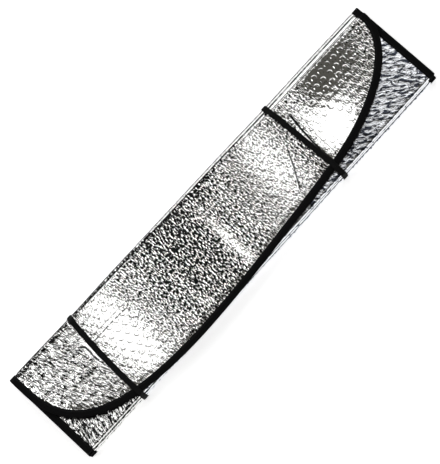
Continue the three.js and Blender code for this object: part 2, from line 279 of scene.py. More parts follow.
# Foil
foilPiece = {
    "columns": 300,  # along the shade
    "hemColumns": (0.0, 1.2, 3.0, 5.5, 8.2, 9.7, 11.6, 13.6, 16.0),  # closer at both ends
    "topRows": 72,  # across each face that shows
    "innerRows": 45,
    "underRows": 40,
    "underInnerRows": 25,
    "stripRows": 14,
    "outerTurn": 6,  # steps round a fold
    "innerTurn": 3,
    "leastReach": 1.2,  # of an end panel past its fold
    "crest": 1.6,  # top of the cells off the middle of the foil, and the grooves between them
    "groove": 1.3,
    "lowCrest": 1.36,  # the same where the cells are pressed
    "lowGroove": 1.2,
    "foldDip": 0.15,
    "wrinkle": 0.25,
    "wrinkleSizes": (3.4, 9.0),
}


def columnPlaces():
    # even along the sheet, with the hems and corners added
    end = half - foilInset
    near = np.array(foilPiece["hemColumns"])
    inner = np.linspace(-half + 18, half - 18, foilPiece["columns"])
    return np.concatenate([-end + near, inner, (end - near)[::-1]])


def bodyHeight(kind, x, v, away):
    # height of a face off the middle of the foil: pressed at the hem, air cells elsewhere
    hem = smooth(away, hemDepth, hemDepth + sheet["hemRamp"])
    if kind == "plain":
        return sheet["hem"] / 2 + (sheet["foil"] - sheet["hem"]) / 2 * hem
    names = ("crest", "groove") if kind == "top" else ("lowCrest", "lowGroove")
    crest, groove = (foilPiece[name] for name in names)
    crown = cellCrown(x, v)
    fine, coarse = foilPiece["wrinkleSizes"]
    wrinkle = foilPiece["wrinkle"] * (ripple(x, v * 0.5, fine, 3) + 0.6 * ripple(x, v, coarse, 4))
    swell = groove + (crest - groove) * np.clip(crown + wrinkle * (0.5 + crown), -0.1, 1.05)
    if kind == "turn":
        swell = 0.5 * swell + 0.5 * (crest - foilPiece["foldDip"])
    return sheet["hem"] / 2 + (swell - sheet["hem"] / 2) * hem


def foilRows():
    # rows of the closed section, out along one face of the sheet and back along the other
    x = columnPlaces()
    rows = []

    def put(y, z, ny, nz, slip, v, kind, sign, away, face):
        # one row, from its place and normal in the section
        v = np.broadcast_to(np.asarray(v, float) + phase, x.shape)
        height = sign * bodyHeight(kind, x, v, away)
        rows.append((folded(x, y, z, ny, nz, slip, height), v, np.full(x.shape, float(face)), away))

    ends = np.minimum(x + half, half - x)

    def endPanel(panel, shares, kind, sign, face):
        # from the fold out to the rounded side
        fold = 0 if panel == 0 else lastFold
        edge = np.maximum(reachAt(x, foilInset), foldEnd + foilPiece["leastReach"])
        for share in shares:
            reach = foldEnd + (edge - foldEnd) * share
            y = foldEdge(fold, x) - sideOf(fold) * reach
            nz = -sideOf(fold) if panel == 0 else sideOf(fold)
            out = reach - foldEnd
            v = sheet["width"] - halfArc - out if panel == 0 else lastPanel * sheet["width"] + halfArc + out
            away = fromOutline(x, reach)
            put(y, lowest + pitch * panel, 0.0, nz, foldShift(fold), v, kind, sign, away, face)

    def turn(fold, steps, kind, sign, face, back=False):
        # half a circle round a fold
        angles = np.linspace(0, np.pi, steps + 1)
        for angle in angles[::-1] if back else angles:
            s = sideOf(fold)
            centre = foldEdge(fold, x) - s * foldEnd
            y = centre + s * foldRadius * math.sin(angle)
            z = lowest + pitch * (fold + 0.5) - foldRadius * math.cos(angle)
            v = (fold + 1) * sheet["width"] - halfArc + angle * foldRadius
            put(y, z, math.sin(angle), -s * math.cos(angle), foldShift(fold), v, kind, sign, ends, face)

    def innerPanel(panel, shares, kind, sign, face, back):
        # straight span between the two folds of an inner panel
        first, second = panel - 1, panel
        ya = foldEdge(first, x) - sideOf(first) * foldEnd
        yb = foldEdge(second, x) - sideOf(second) * foldEnd
        nz = -sideOf(second)
        for share in shares[::-1] if back else shares:
            y = ya + (yb - ya) * share
            slip = foldShift(first) + (foldShift(second) - foldShift(first)) * share
            v = sheet["width"] * panel + halfArc + (sheet["width"] - 2 * halfArc) * share
            put(y, lowest + pitch * panel, 0.0, nz, slip, v, kind, sign, ends, face)

    def evenShares(rows, most=1.0):
        # from 0 to the given share, in a named number of steps
        return np.linspace(0, most, foilPiece[rows] + 1)

    few = np.array([0.0, 0.3, 0.7, 1.0])
    outside, inside = (foilPiece["outerTurn"], "turn"), (foilPiece["innerTurn"], "plain")
    # outer face of the end panels and of the folds on the +y side
    endPanel(0, evenShares("underRows")[:0:-1], "low", 1, 0)
    for fold in range(lastPanel):
        turn(fold, *(outside if sideOf(fold) == 1 else inside), 1, 0)
        if fold == lastFold - 2:
            innerPanel(lastPanel - 2, evenShares("stripRows", 0.3)[1:], "low", 1, 0, False)
    endPanel(lastPanel, evenShares("topRows")[1:], "top", 1, 0)
    # the other face, back again
    endPanel(lastPanel, few[:0:-1], "plain", -1, 1)
    for fold in range(lastPanel - 1, -1, -1):
        turn(fold, *(outside if sideOf(fold) == -1 else inside), -1, 1, True)
        if fold == lastFold:
            innerPanel(lastPanel - 1, evenShares("innerRows")[1:-1], "low", -1, 1, True)
        if fold == 1:
            innerPanel(1, evenShares("underInnerRows")[1:-1], "low", -1, 1, True)
    endPanel(0, few[1:], "plain", -1, 1)
    return x, rows


def foilSheet():
    # the rows joined into one closed solid, with each point's place on the flat sheet kept as "flat"
    x, rows = foilRows()
    points = np.stack([r[0] for r in rows], 1)  # column, row, xyz
    columns, count = points.shape[:2]
    faces = gridFaces(columns, count, False)
    caps = [list(range(count))[::-1], list(range((columns - 1) * count, columns * count))]
    flat = np.stack([
        np.broadcast_to(x[:, None], (columns, count)),
        np.stack([r[1] for r in rows], 1),
        np.stack([r[2] for r in rows], 1) * 1000.0,
    ], -1) / 1000.0
    piece = makeMesh("foilSheet", heaved(points).reshape(-1, 3), faces.tolist() + caps)
    setField(piece, "flat", flat.reshape(-1, 3))
    return piece


foil = foilSheet()
print("foil", len(foil.data.vertices), "vertices")


# Binding
bindingPiece = {
    "sideStep": 2.5,  # along the rounded sides
    "turnSteps": 8,  # round each fold
    "backRise": 0.75,  # of the rounded back of the tape
    "backSteps": 7,
    "edgeRound": 0.12,
}


def tapeSection():
    # a U round the pressed edge of the foil, as inset and height, with a rounded back
    out, inn = tapeReach, tapeReach - sheet["tape"]
    turn = np.linspace(-np.pi / 2, np.pi / 2, bindingPiece["backSteps"])
    rise = bindingPiece["backRise"]
    back = np.stack([rise - rise * np.cos(turn), (out - 0.02) * np.sin(turn)], -1)
    wide = sheet["tapeWidth"]
    lip, middle = wide + bindingPiece["edgeRound"], (inn + out) / 2
    return np.array(
        [(wide, inn), (wide * 0.5, inn), (0.5, inn), (0.5, -inn), (wide * 0.5, -inn), (wide, -inn),
         (lip, -middle), (wide, -out), (wide * 0.66, -out), (wide * 0.33, -out)]
        + [tuple(p) for p in back]
        + [(wide * 0.33, out), (wide * 0.66, out), (wide, out), (lip, middle)]
    )


def edgeBinding():
    # the section carried round the outline of the sheet and folded with it
    section = tapeSection()
    inset, height = section[:, 0], section[:, 1]
    rings = []

    def alongEnd(fold, angle, sign):
        # round a fold on a straight edge
        x = sign * (half - inset)
        s = sideOf(fold)
        centre = foldEdge(fold, x) - s * foldEnd
        y = centre + s * foldRadius * math.sin(angle)
        z = lowest + pitch * (fold + 0.5) - foldRadius * math.cos(angle)
        rings.append(folded(x, y, z, math.sin(angle), -s * math.cos(angle), foldShift(fold), height))

    def alongSide(panel, place, towards):
        # on the outline of an end panel
        fold = 0 if panel == 0 else lastFold
        x = place[0] + inset * towards[0]
        reach = place[1] + inset * towards[1]
        y = foldEdge(fold, x) - sideOf(fold) * reach
        nz = -sideOf(fold) if panel == 0 else sideOf(fold)
        rings.append(folded(x, y, lowest + pitch * panel, 0.0, nz, foldShift(fold), height))

    angles = np.linspace(0, np.pi, bindingPiece["turnSteps"] + 1)
    # places along the rounded side, evenly spaced, closer together in the corners
    length = np.concatenate([[0], np.cumsum(np.linalg.norm(np.diff(side, axis=0), axis=1))])
    keep = np.concatenate([[True], np.diff(length) > 1e-9])
    wanted = np.linspace(0, length[-1], int(length[-1] / bindingPiece["sideStep"]))
    places = np.stack([np.interp(wanted, length[keep], side[keep, k]) for k in (0, 1)], -1)
    towards = np.stack([np.interp(wanted, length[keep], inward[keep, k]) for k in (0, 1)], -1)
    towards /= np.linalg.norm(towards, axis=1)[:, None]
    # short straight runs between the last fold and the corner of an end panel
    runs = [np.linspace(foldEnd, side[k, 1], 6)[1:-1] for k in (0, -1)]

    for fold in range(lastPanel):
        for angle in angles:
            alongEnd(fold, angle, 1)
    for reach in runs[1]:
        alongSide(lastPanel, (half, reach), (-1.0, 0.0))
    for place, direction in zip(places[::-1], towards[::-1]):
        alongSide(lastPanel, place, direction)
    for reach in runs[0][::-1]:
        alongSide(lastPanel, (-half, reach), (1.0, 0.0))
    for fold in range(lastPanel - 1, -1, -1):
        for angle in angles[::-1]:
            alongEnd(fold, angle, -1)
    for reach in runs[0]:
        alongSide(0, (-half, reach), (1.0, 0.0))
    for place, direction in zip(places, towards):
        alongSide(0, place, direction)
    for reach in runs[1][::-1]:
        alongSide(0, (half, reach), (-1.0, 0.0))
    points = np.stack(rings)
    middle = points.mean(1)
    steps = np.linalg.norm(np.roll(middle, -1, 0) - middle, axis=1)
    run = np.concatenate([[0], np.cumsum(steps)[:-1]])
    across = np.concatenate([[0], np.cumsum(np.linalg.norm(np.diff(section, axis=0), axis=1))])
    flat = np.stack([
        np.broadcast_to(run[:, None], points.shape[:2]),
        np.broadcast_to(inset[None, :], points.shape[:2]),
        np.broadcast_to(across[None, :], points.shape[:2]),
    ], -1) / 1000.0
    faces = gridFaces(len(points), len(section), True)[:, ::-1]
    piece = makeMesh("edgeBinding", heaved(points).reshape(-1, 3), faces.tolist())
    setField(piece, "flat", flat.reshape(-1, 3))
    return piece, points


binding, bindingPoints = edgeBinding()
print("binding", len(binding.data.vertices), "vertices")

# Elastic bands
bandPiece = {
    "width": 7.0,
    "thickness": 1.0,
    "corner": 0.3,
    "stations": 360,
    "bowReach": 66.0,  # half the width of the pack
    "bowMiddle": (10, 15),  # height at which the bow changes sides, and how gently
}


def elasticBand(name):
    # the hull of the solid's loop, found by its support in every direction, then resampled evenly
    band = bands[name]
    solid = readVectors(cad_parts[name].data.vertices, "co")[:, 1:] * 1000.0
    angle = np.linspace(0, 2 * np.pi, 1440, endpoint=False)
    outward = np.stack([np.cos(angle), np.sin(angle)], -1)
    corner = solid[(solid @ outward.T).argmax(0)]
    inset = bandPiece["thickness"] / 2
    loop = corner - inset * outward
    closed = np.concatenate([loop, loop[:1]])
    run = np.concatenate([[0], np.cumsum(np.linalg.norm(np.diff(closed, axis=0), axis=1) + 1e-7)])
    wanted = np.linspace(0, run[-1], bandPiece["stations"], endpoint=False)
    path = np.stack([np.interp(wanted, run, closed[:, k]) for k in (0, 1)], -1)
    tangent = np.roll(path, -1, 0) - np.roll(path, 1, 0)
    tangent /= np.linalg.norm(tangent, axis=1)[:, None]
    normal = np.stack([tangent[:, 1], -tangent[:, 0]], -1)
    w, t, c = bandPiece["width"] / 2, bandPiece["thickness"] / 2, bandPiece["corner"]
    section = np.array([
        (-w, -t + c), (-w + c, -t), (-w / 3, -t), (w / 3, -t), (w - c, -t), (w, -t + c),
        (w, t - c), (w - c, t), (w * 0.66, t), (w / 3, t), (0, t), (-w / 3, t), (-w * 0.66, t),
        (-w + c, t), (-w, t - c),
    ])
    y = path[:, None, 0] + normal[:, None, 0] * section[None, :, 1]
    z = path[:, None, 1] + normal[:, None, 1] * section[None, :, 1]
    # bowed along the pack, one way on top and the other way below
    level, gentle = bandPiece["bowMiddle"]
    arch = np.cos(np.pi / 2 * np.clip(path[:, None, 0] / bandPiece["bowReach"], -1, 1))
    bow = band["bow"] * arch * np.clip((path[:, None, 1] - level) / gentle, -1, 1)
    x = band["x"] + band["slant"] * y + section[None, :, 0] + bow
    points = np.stack([x, y, z], -1)
    flat = np.stack([
        np.broadcast_to(wanted[:, None], x.shape),
        np.broadcast_to(section[None, :, 0], x.shape),
        np.broadcast_to(section[None, :, 1], x.shape),
    ], -1) / 1000.0
    return points, flat


def place(piece, nodeName, slotName):
    # rides on the one body and stands for its CAD node
    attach(piece, "root")
    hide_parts(nodeName)


# The solids were shifted so that the origin lies on the resting plane under the middle of the pack
bindingBox = np.array([list(c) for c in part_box("edge_binding")]) * 1000.0
ownBox = np.stack([bindingPoints.reshape(-1, 3).min(0), bindingPoints.reshape(-1, 3).max(0)])
shift = bindingBox.mean(0) - ownBox.mean(0)
shift[2] = bindingBox[0, 2] - ownBox[0, 2]
print("shift", np.round(shift, 3).tolist(), "size", np.round(ownBox[1] - ownBox[0], 2).tolist())
for piece in (foil, binding):
    piece.data.transform(Matrix.Translation(Vector(shift)))
    piece.data.transform(Matrix.Scale(0.001, 4))
elastics = {}
for name, title in (("lower_band", "lowerBand"), ("upper_band", "upperBand")):
    points, flat = elasticBand(name)
    lifted = heaved(points - shift) + shift
    faces = gridFaces(points.shape[0], points.shape[1], True)
    elastics[name] = makeMesh(title, lifted.reshape(-1, 3) / 1000.0, faces.tolist())
    setField(elastics[name], "flat", flat.reshape(-1, 3))
print("bands", list(elastics))
place(foil, "foil_sheet", "foil")
place(binding, "edge_binding", "tape")
for name, piece in elastics.items():
    place(piece, name, "elastic")

# Camera at the photograph's angle, in metres and radians
view = {
    "tilt": 0.21,  # from straight above, towards the curved edge
    "pitch": -0.0348,  # towards the lower end
    "roll": 0.8212,
    "target": (-0.0048, 0.0035, 0.017),
    "distance": 3.0,
    "focal": 2556.95,  # in pixels of a picture 440 wide
    "width": 440.0,
}


def placeCamera():
    # looks down from the side of the curved edge, turned so that the pack lies across the picture
    tilt, lean = view["tilt"], view["pitch"]
    level = math.cos(lean)
    back = Vector((math.sin(lean), -math.sin(tilt) * level, math.cos(tilt) * level)).normalized()
    up = Vector((math.sin(view["roll"]), math.cos(view["roll"]), 0.0))
    up = (up - back * up.dot(back)).normalized()
    lens = bpy.data.cameras.new("camera")
    lens.sensor_fit = "HORIZONTAL"
    lens.sensor_width = 36.0
    lens.lens = view["focal"] / view["width"] * lens.sensor_width
    lens.clip_end = 40.0
    camera = bpy.data.objects.new("camera", lens)
    scene.collection.objects.link(camera)
    turn = Matrix((up.cross(back), up, back)).transposed().to_4x4()
    camera.matrix_world = Matrix.Translation(Vector(view["target"]) + back * view["distance"]) @ turn
    scene.camera = camera


placeCamera()
print("camera placed")


class Wires:
    # short names for the nodes of one material or world

    def __init__(self, tree):
        self.tree = tree

    def node(self, kind, values=None, **settings):
        # values go to the inputs and settings to the node itself
        made = self.tree.nodes.new(kind)
        for key, value in settings.items():
            setattr(made, key, value)
        for key, value in (values or {}).items():
            self.feed(made.inputs[key], value)
        return made

    def feed(self, socket, value):
        # a wire from another node, or a fixed value
        if isinstance(value, bpy.types.NodeSocket):
            self.tree.links.new(value, socket)
        else:
            socket.default_value = value

    def math(self, operation, *values):
        return self.node("ShaderNodeMath", dict(enumerate(values)), operation=operation).outputs[0]

    def vector(self, operation, *values):
        return self.node("ShaderNodeVectorMath", dict(enumerate(values)), operation=operation).outputs[0]

    def remap(self, value, low, high, toLow=0.0, toHigh=1.0):
        # a smooth step from one range to another
        names = ("Value", "From Min", "From Max", "To Min", "To Max")
        values = dict(zip(names, (value, low, high, toLow, toHigh)))
        return self.node("ShaderNodeMapRange", values, interpolation_type="SMOOTHSTEP").outputs[0]

    def mix(self, share, a, b):
        made = self.node("ShaderNodeMix", data_type="RGBA")
        self.feed(made.inputs["Factor"], share)
        self.feed(made.inputs["A"], a)
        self.feed(made.inputs["B"], b)
        return made.outputs["Result"]

    def noise(self, place, detail=2.0, roughness=0.55, distortion=0.0):
        values = {
            "Vector": place, "Scale": 1.0, "Detail": detail,
            "Roughness": roughness, "Distortion": distortion,
        }
        return self.node("ShaderNodeTexNoise", values).outputs["Fac"]

    def split(self, vector):
        # x, y and z of a vector
        return tuple(self.node("ShaderNodeSeparateXYZ", {0: vector}).outputs)

    def field(self, name):
        # a value or vector kept on the piece's own vertices
        read = self.node("ShaderNodeAttribute", attribute_name=name).outputs
        return read["Fac"], read["Vector"]

    def bump(self, height, strength=1.0, **more):
        values = {"Strength": strength, "Distance": 1.0, "Height": height, **more}
        return self.node("ShaderNodeBump", values).outputs[0]


def newMaterial(name):
    # a material with its node helper and its shader
    made = bpy.data.materials.new(name)
    made.use_nodes = True
    return made, Wires(made.node_tree), made.node_tree.nodes["Principled BSDF"]


# Which way the bright half of the studio lies, and slack film leans
brightSide = (0.73, 0.68)

foilLook = {
    "bright": (0.93, 0.93, 0.92, 1),
    # painted reflection and painted shade: the dark colours below go into the flecks and the lines along
    # creases and bends
    "dark": (0.02, 0.02, 0.02, 1),
    "innerBright": (0.89, 0.905, 0.94, 1),  # the inner face is a little bluer
    "innerDarkReflection": (0.06, 0.068, 0.09, 1),
    "roughness": 0.09,
    # sizes of the patterns, as features per millimetre along and across the shade
    "crinkle": (0.8, 0.22),
    "dashes": (0.48, 0.235),  # short facets between the crinkles
    "lines": (0.40, 0.10),  # thin lines beyond the lower band
    "slant": (0.09, 0.27),  # crinkles of the inner face, where they run aslant
    "coarse": (0.095, 0.07),
    "fine": (0.9, 0.5),
    "gaps": (0.24, 0.24),  # in a broken crease
    "lineTurn": 0.27,
    "slantTurn": 0.75,
    "linesFrom": (-0.213, -0.2),  # where the lines give way to crinkles, in metres
    # a crinkle is painted dark above this level, as a painted reflection; the level sinks where the film is
    # slack, so slack places get more painted reflection
    "level": 0.69,
    "slackLevel": 0.21,
    "coarseLevel": 0.13,
    # depths in metres
    "slackDepth": 0.00115,
    "tautDepth": 0.0001,
    "rim": 0.00026,
    "coarseDepth": 0.0005,
    "fineDepth": 0.00005,
    "creaseDepth": 0.0005,
    "brokenDepth": 0.00045,  # how much shallower a broken crease is
}


def cellRim(w, flat):
    # distance to the nearest centre of two rectangular lattices that make the honeycomb, then a steep rim
    pitch = sheet["cellPitch"] / 1000
    size = (pitch, pitch * math.sqrt(3), 1.0)
    x, y, _ = w.split(flat)
    plane = w.node("ShaderNodeCombineXYZ", {0: x, 1: y}).outputs[0]
    middle = (size[0] / 2, size[1] / 2, 0.0)

    def nearest(offset):
        # whole cells are added first, so that nothing is below 0
        start = (40 * size[0] + middle[0] - offset[0], 4 * size[1] + middle[1] - offset[1], 0.0)
        inside = w.vector("MODULO", w.vector("ADD", plane, start), size)
        away = w.vector("SUBTRACT", inside, middle)
        return w.node("ShaderNodeVectorMath", {0: away}, operation="LENGTH").outputs["Value"]

    gap = w.math("MINIMUM", nearest((0.0, 0.0)), nearest(middle))
    return w.remap(gap, 0.0029, 0.0040, 1.0, 0.0)


def scaled(w, flat, size, seed):
    # place on the flat sheet in units of the pattern, with another slice of it for the inner face
    return w.vector("MULTIPLY", flat, (1000 * size[0], 1000 * size[1], seed))


def turnedFlat(w, flat, angle):
    # the flat sheet turned in its own plane
    values = {"Vector": flat, "Angle": angle}
    return w.node("ShaderNodeVectorRotate", values, rotation_type="Z_AXIS").outputs[0]


def partWay(w, a, b, share):
    # a plus a share of the way to b
    return w.math("MULTIPLY_ADD", w.math("SUBTRACT", b, a), share, a)


def crinkles(w, flat):
    # stretched noise, less the distance to the nearest point of a stretched Voronoi pattern
    noise = w.noise(scaled(w, flat, foilLook["crinkle"], 37.0), 0.4, 0.5, 0.1)
    values = {"Vector": scaled(w, flat, foilLook["dashes"], 7.0), "Scale": 1.0, "Randomness": 0.85}
    distance = w.node("ShaderNodeTexVoronoi", values, voronoi_dimensions="2D").outputs["Distance"]
    return w.math("MULTIPLY_ADD", distance, -0.5, w.math("MULTIPLY_ADD", noise, 0.4, 0.5))


def windingLines(w, flat):
    # highest where a stretched noise passes 0.5
    oblique = turnedFlat(w, flat, foilLook["lineTurn"])
    noise = w.noise(scaled(w, oblique, foilLook["lines"], 3.0), 1.5, 0.5, 0.7)
    off = w.math("ABSOLUTE", w.math("SUBTRACT", noise, 0.5))
    return w.math("SUBTRACT", 0.65, w.math("MULTIPLY", off, 1.8))


def slantedCrinkles(w, flat):
    # noise stretched aslant
    oblique = turnedFlat(w, flat, foilLook["slantTurn"])
    return w.noise(scaled(w, oblique, foilLook["slant"], 13.0), 3.0, 0.65, 0.6)


def foilMaterial():
    # crinkled aluminium: crinkles across the shade, deeper where the film is slack, over round air cells,
    # with painted reflection as dark flecks and painted shade as dark lines in the colour
    made, w, shader = newMaterial("crinkledFoil")
    flat, slackAndDarkReflection, lean = w.field("flat")[1], w.field("slackAndDarkReflection")[0], w.field("lean")[1]
    crease, broken, _ = w.split(w.field("crease")[1])
    along, _, face = w.split(flat)
    end = w.remap(along, *foilLook["linesFrom"], 1.0, 0.0)
    face = w.math("MULTIPLY", face, w.math("SUBTRACT", 1.0, end))
    crinkle = partWay(w, crinkles(w, flat), windingLines(w, flat), end)
    crinkle = partWay(w, crinkle, slantedCrinkles(w, flat), face)
    coarse = w.noise(scaled(w, flat, foilLook["coarse"], 11.0), 2.0, 0.5, 0.4)
    fine = w.noise(scaled(w, flat, foilLook["fine"], 5.0), 1.0)
    # painted reflection: dark flecks in the colour where a crinkle is steep and the film is slack, standing
    # for the dark half of the room mirrored in the foil
    level = w.math("MULTIPLY_ADD", slackAndDarkReflection, -foilLook["slackLevel"], foilLook["level"])
    level = w.math("MULTIPLY_ADD", w.math("SUBTRACT", coarse, 0.5), -foilLook["coarseLevel"], level)
    darkReflectionFleck = w.remap(w.math("SUBTRACT", crinkle, level), -0.008, 0.02)
    # painted shade: a thin dark line along each crease and bend, with gaps where it is broken
    beside = w.math("ABSOLUTE", crease)
    gaps = w.remap(w.noise(scaled(w, flat, foilLook["gaps"], 1.0), 1.0), 0.52, 0.6)
    kept = w.math("SUBTRACT", 1.0, w.math("MULTIPLY", gaps, broken))
    line = w.math("MULTIPLY", w.remap(beside, 0.4, 1.05, 1.0, 0.0), kept)
    # the dark colour is painted reflection in the flecks and painted shade in the lines
    bright = w.mix(face, foilLook["bright"], foilLook["innerBright"])
    dark = w.mix(face, foilLook["dark"], foilLook["innerDarkReflection"])
    w.feed(shader.inputs["Base Color"], w.mix(w.math("MAXIMUM", darkReflectionFleck, line), bright, dark))
    shader.inputs["Metallic"].default_value = 1.0
    rough = foilLook["roughness"]
    w.feed(shader.inputs["Roughness"], w.remap(coarse, 0.2, 0.8, rough * 0.7, rough * 1.4))
    # crinkles, fine and coarse crumples, the rims of the air cells and the grooves of the creases
    depth = w.math("MULTIPLY_ADD", slackAndDarkReflection, foilLook["slackDepth"], foilLook["tautDepth"])
    rim = w.remap(slackAndDarkReflection, 0.2, 0.9, foilLook["rim"], foilLook["rim"] * 0.25)
    rim = w.math("MULTIPLY", rim, w.remap(slackAndDarkReflection, 0.0, 0.22, 0.25, 1.0))
    groove = w.math("MULTIPLY_ADD", broken, foilLook["brokenDepth"], -foilLook["creaseDepth"])
    height = w.math("MULTIPLY", crinkle, depth)
    for form, share in (
        (fine, foilLook["fineDepth"]),
        (coarse, foilLook["coarseDepth"]),
        (cellRim(w, flat), rim),
        (w.remap(beside, 0.0, 2.2, 1.0, 0.0), groove),
    ):
        height = w.math("ADD", height, w.math("MULTIPLY", form, share))
    own = w.node("ShaderNodeNewGeometry").outputs["Normal"]
    leaning = w.vector("NORMALIZE", w.vector("ADD", own, lean))
    w.feed(shader.inputs["Normal"], w.bump(height, Normal=leaning))
    return made


# Where the film is slack and crinkled, which also sets how dense the painted reflection flecks are: centre
# x, y, reach along x, y, amount
slackAndDarkReflectionPlaces = [
    (-45, 5, 88, 90, 0.67),
    (-262, 0, 50, 70, -0.12),
    (-167, 0, 34, 90, -0.6),
    (-4, -14, 7, 50, -0.85),
    (-10, 54, 90, 15, 0.15),
    (-79, -18, 2.5, 34, -0.35),
    (85, 10, 35, 80, -0.25),
    (132, -10, 13, 50, 0.5),
    (178, -15, 38, 40, -0.6),
    (178, 38, 14, 26, 0.3),
    (-207, 13, 5, 20, -0.9),
    (225, 42, 42, 36, -0.5),
    (275, 20, 30, 60, 0.25),
]
# Where the sheet leans towards the light, the same way
leanPlaces = [
    (-163, 0, 40, 100, 1.15),
    (-265, -5, 45, 70, 0.2),
    (-45, 0, 80, 90, -0.1),
    (-15, 54, 90, 15, -0.3),
    (-4, -20, 8, 60, 0.95),
    (-207, 13, 5, 20, 0.9),
    (-78, 0, 3, 70, 0.6),
    (50, -45, 40, 36, 0.25),
    (100, 15, 32, 70, 0.6),
    (178, -18, 32, 34, 1.35),
    (163, 30, 12, 32, 0.7),
    (132, -10, 9, 50, -0.35),
    (230, 45, 55, 36, -0.35),
]
# Sharp creases, each with a painted shade line along it, as how broken they are, below 0 for how bold, then
# points on the pack, x and y
creases = [
    (-0.6, [(151, 32), (148, 13), (146, -4), (145, -21), (145, -39)]),
    (0.3, [(119, 7), (110, -10), (94, -36)]),
    (0.0, [(-215, 30), (-211, 26), (-211, 16), (-212, 7), (-210, -3)]),
    (1.0, [(-197, 23), (-171, 23), (-140, 21)]),
]


def fromCreases(x, y, most=6.0):
    # signed distance to the nearest crease in millimetres, less for a bold one, and how broken it is
    best, broken = np.full(x.shape, most), np.zeros(x.shape)
    for share, line in creases:
        for (ax, ay), (bx, by) in zip(line[:-1], line[1:]):
            length = math.hypot(bx - ax, by - ay)
            run = ((x - ax) * (bx - ax) + (y - ay) * (by - ay)) / length
            off = ((x - ax) * (by - ay) - (y - ay) * (bx - ax)) / length
            past = np.maximum(np.maximum(-run, run - length), 0)
            gap = np.where(off < 0, -1, 1) * np.hypot(off, past) / (1 - min(share, 0))
            broken = np.where(np.abs(gap) < np.abs(best), max(share, 0), broken)
            best = np.where(np.abs(gap) < np.abs(best), gap, best)
    return best, broken


def blobs(places, x, y, start):
    # sum of Gaussian blobs on a starting value
    amount = np.full(x.shape, start)
    for centre, middle, reachX, reachY, weight in places:
        amount += weight * np.exp(-((x - centre) / reachX) ** 2 - ((y - middle) / reachY) ** 2)
    return amount


foilFields = {
    "slackAndDarkReflection": 0.6,  # where no place above changes it, and at most "slackMost"
    "slackMost": 1.2,
    "leans": (-0.4, 1.2),
    "leanSlope": 0.3,
    "smoothWidth": 5.0,  # of the smooth strip beside the outermost fold, and again towards the upper end
    "smoothSlack": 0.12,
    "smoothLean": 0.8,
    "besideSlack": 0.3,  # more beside that strip
    # painted shade: dense dark flecks on the crowded bends at the lower end
    "crowdedSlack": 1.1,
    "crowdedLean": -0.4,
    "innerSlack": 0.85,
    "innerTurnSlack": 0.25,
    "innerLean": 0.2,
    "innerEndLean": 0.75,
    "hiddenSlack": 0.6,  # of all other faces, give or take "hiddenSwing"
    "hiddenSwing": 0.35,
    "hiddenLean": 0.12,
    "noCrease": 6.0,
    "bendBroken": 0.35,
    "turnCatch": 0.8,
}


def foilZones():
    # the parts of the sheet that the fields tell apart
    cells = readVectors(foil.data.attributes["flat"].data, "vector") * 1000.0
    spots = readVectors(foil.data.vertices, "co") * 1000.0
    x, y, run = spots[:, 0], spots[:, 1], cells[:, 1]
    inner = cells[:, 2] > 0.5
    onTop = ~inner & (run > lastPanel * sheet["width"] + phase - 1.5 * halfArc)
    strip = ~inner & ~onTop & (run > (lastPanel - 3) * sheet["width"] + phase)
    shown = strip | onTop
    # distance in from the outermost fold, and how wide a strip beside it is left smooth
    narrow = 1 + (sheet["upperShare"] - 1) * (x + half) / sheet["height"]
    indent = foldEdge(lastFold - 2, x) * narrow + shift[1] - y
    wide = foilFields["smoothWidth"]
    margin = wide * smooth(x, -130, -10) + wide * smooth(x, 60, 180)
    # layered bends crowd together at the lower end, where their shade is painted as dense dark flecks
    crowded = shown & (indent < 8 - 4.5 * smooth(x, -210, -120)) & (x < -100)
    upward = readVectors(foil.data.vertices, "normal")
    return dict(x=x, y=y, run=run, inner=inner, onTop=onTop, strip=strip, shown=shown,
                indent=indent, margin=margin, crowded=crowded, upward=upward)


def slackAndDarkReflectionField(x, y, inner, shown, indent, margin, crowded, upward, **others):
    # the places above, then a value for each part of the sheet, setting the depth of the crinkles and the
    # density of the painted reflection flecks
    slackAndDarkReflection = np.clip(blobs(slackAndDarkReflectionPlaces, x, y, foilFields["slackAndDarkReflection"]), 0, foilFields["slackMost"])
    beside = 1 - smooth(indent, margin, margin + 10)
    slackAndDarkReflection += foilFields["besideSlack"] * shown * beside * smooth(x, -130, -60) * (1 - smooth(x, 60, 120))
    slackAndDarkReflection = np.where(shown & (indent < margin), foilFields["smoothSlack"], slackAndDarkReflection)
    slackAndDarkReflection = np.where(crowded, foilFields["crowdedSlack"], slackAndDarkReflection)
    slackAndDarkReflection = np.where(inner, foilFields["innerSlack"], slackAndDarkReflection)
    hidden = foilFields["hiddenSlack"] + foilFields["hiddenSwing"] * ripple(x, y, 34.0, 8)
    slackAndDarkReflection = np.where(~inner & ~shown, hidden, slackAndDarkReflection)
    return np.where(inner & (upward[:, 2] < 0.8), foilFields["innerTurnSlack"], slackAndDarkReflection)


def leanField(x, y, inner, onTop, shown, indent, margin, crowded, upward, **others):
    # a vector added to the normal: an amount towards the bright side, less on steep parts
    amount = np.clip(blobs(leanPlaces, x, y, 0.0), *foilFields["leans"])
    amount = np.where(shown & (indent < margin), foilFields["smoothLean"], amount)
    amount = np.where(crowded, foilFields["crowdedLean"], amount)
    amount = np.where(shown, amount, foilFields["hiddenLean"])
    innerLean = np.where(x < -195, foilFields["innerEndLean"], foilFields["innerLean"])
    amount = np.where(inner, innerLean, amount) * np.clip(upward[:, 2], 0, 1)
    lean = amount[:, None] * np.array([*brightSide, 0.0]) * foilFields["leanSlope"]
    # the top bend catches the light like the panel beside it
    caught = onTop & (upward[:, 1] > 0) & (upward[:, 2] > 0.2)
    lean[:, 1] -= np.where(caught, foilFields["turnCatch"] * upward[:, 1], 0.0)
    return lean


